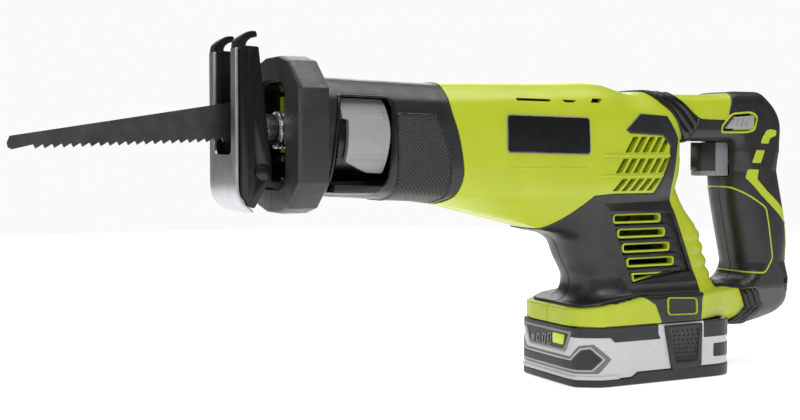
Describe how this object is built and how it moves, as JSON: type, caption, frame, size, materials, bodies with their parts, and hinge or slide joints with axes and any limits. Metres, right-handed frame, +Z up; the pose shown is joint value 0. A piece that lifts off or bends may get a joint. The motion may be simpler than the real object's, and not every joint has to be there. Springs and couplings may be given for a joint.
{
  "type": "reciprocating saw",
  "caption": "Cordless reciprocating saw with a clamshell housing, D handle, pivoting shoe, quick-release lever, straight blade and slide-off battery under its base.",
  "frame": {"origin": "on the battery's flat underside, on which the saw stands, below the middle of the battery's stem", "axes": "+X along the tool towards the rear handle, so the blade points to -X; +Y to the tool's right side; +Z up"},
  "size_m": [0.5365, 0.088, 0.216],
  "materials": {
    "lime_plastic": "satin moulded lime plastic",
    "dark_plastic": "fine textured dark grey plastic",
    "black_plastic": "semi-gloss black plastic",
    "grey_plastic": "satin light grey plastic",
    "silver_plastic": "silver grey plastic",
    "rubber": "matt dark rubber",
    "cast_aluminium": "cast",
    "steel": "ground",
    "dark_steel": "blackened steel",
    "sintered_bronze": "sintered",
    "copper": "enamelled windings on a steel stack",
    "magnet": "ferrite",
    "cell_wrap": "shrink sleeve over steel cans",
    "board": "solder mask",
    "red_sleeve": "insulation"
  },
  "bodies": {
    "housing": {"housing_left": "lime_plastic", "housing_right": "lime_plastic", "housing_screw_1": "dark_steel", "housing_screw_2": "dark_steel", "housing_screw_3": "dark_steel", "housing_screw_4": "dark_steel", "housing_screw_5": "dark_steel", "housing_screw_6": "dark_steel", "housing_screw_7": "dark_steel", "housing_screw_8": "dark_steel", "badge_left": "black_plastic", "badge_right": "black_plastic", "nose_grip": "dark_plastic", "front_boot": "rubber", "gearcase_base": "cast_aluminium", "gearcase_cover": "cast_aluminium", "gearcase_screw_1": "dark_steel", "gearcase_screw_2": "dark_steel", "plunger_bush_front": "sintered_bronze", "plunger_bush_rear": "sintered_bronze", "gear_bearing": "steel", "motor_can": "steel", "magnet_upper": "magnet", "magnet_lower": "magnet", "brush_plate": "black_plastic", "motor_bearing_front": "steel", "motor_bearing_rear": "steel", "switch_module": "black_plastic", "terminal_block": "black_plastic", "supply_wire": "red_sleeve", "motor_wire": "rubber", "trigger_spring": "steel"},
    "plunger": {"plunger": "steel", "blade_clamp": "steel", "clamp_spring": "steel", "blade": "dark_steel"},
    "drive_gear": {"drive_gear": "steel", "gear_shaft": "steel"},
    "rotor": {"rotor": "copper", "pinion": "steel", "fan": "dark_plastic"},
    "shoe_bar": {"shoe_bracket": "dark_steel", "shoe_pivot_pin": "steel"},
    "shoe": {"shoe_frame": "black_plastic", "shoe_plate": "steel"},
    "release_lever": {"release_lever": "grey_plastic"},
    "trigger": {"trigger": "dark_plastic"},
    "lock_off_button": {"lock_off_button": "grey_plastic"},
    "battery": {"battery_case_lower": "silver_plastic", "battery_case_upper": "dark_plastic", "battery_cell_1": "cell_wrap", "battery_cell_2": "cell_wrap", "battery_cell_3": "cell_wrap", "battery_cell_4": "cell_wrap", "battery_cell_5": "cell_wrap", "battery_board": "board"},
    "latch_left": {"battery_latch_left": "black_plastic"},
    "latch_right": {"battery_latch_right": "black_plastic"},
    "gauge_button": {"gauge_button": "lime_plastic"}
  },
  "joints": [
    {"name": "plunger_slide", "type": "slide", "parent": "housing", "child": "plunger", "axis": [1, 0, 0], "range_m": [-0.011, 0.011]},
    {"name": "drive_gear_spin", "type": "hinge", "parent": "housing", "child": "drive_gear", "pos_m": [-0.128, 0, 0.147], "axis": [0, 0, 1], "continuous": true},
    {"name": "rotor_spin", "type": "hinge", "parent": "housing", "child": "rotor", "pos_m": [-0.06, 0, 0.158], "axis": [1, 0, 0], "continuous": true},
    {"name": "shoe_slide", "type": "slide", "parent": "housing", "child": "shoe_bar", "axis": [-1, 0, 0], "range_m": [0, 0.02]},
    {"name": "shoe_pivot", "type": "hinge", "parent": "shoe_bar", "child": "shoe", "pos_m": [-0.263, 0, 0.139], "axis": [0, 1, 0], "range_deg": [-25, 12]},
    {"name": "lever_turn", "type": "hinge", "parent": "housing", "child": "release_lever", "pos_m": [-0.202, 0, 0.158], "axis": [1, 0, 0], "range_deg": [0, 20], "stiffness_Nm_per_rad": 0.6, "springref_deg": -14.32},
    {"name": "trigger_press", "type": "slide", "parent": "housing", "child": "trigger", "axis": [1, 0, 0], "range_m": [0, 0.007], "stiffness_N_per_m": 900, "springref_m": -0.003, "deforming": ["trigger_spring"]},
    {"name": "lock_off_slide", "type": "slide", "parent": "housing", "child": "lock_off_button", "axis": [0, 1, 0], "range_m": [-0.003, 0.003]},
    {"name": "battery_slide", "type": "slide", "parent": "housing", "child": "battery", "axis": [0, 0, -1], "range_m": [0, 0.045]},
    {"name": "latch_left_press", "type": "slide", "parent": "battery", "child": "latch_left", "axis": [0, 1, 0], "range_m": [0, 0.002], "stiffness_N_per_m": 1500, "springref_m": -0.002},
    {"name": "latch_right_press", "type": "slide", "parent": "battery", "child": "latch_right", "axis": [0, -1, 0], "range_m": [0, 0.002], "stiffness_N_per_m": 1500, "springref_m": -0.002},
    {"name": "gauge_button_press", "type": "slide", "parent": "battery", "child": "gauge_button", "axis": [1, 0, 0], "range_m": [0, 0.001], "stiffness_N_per_m": 900, "springref_m": -0.001}
  ],
  "couplings": [
    {"joint": "rotor_spin", "follows": "drive_gear_spin", "ratio": 4.5}
  ]
}
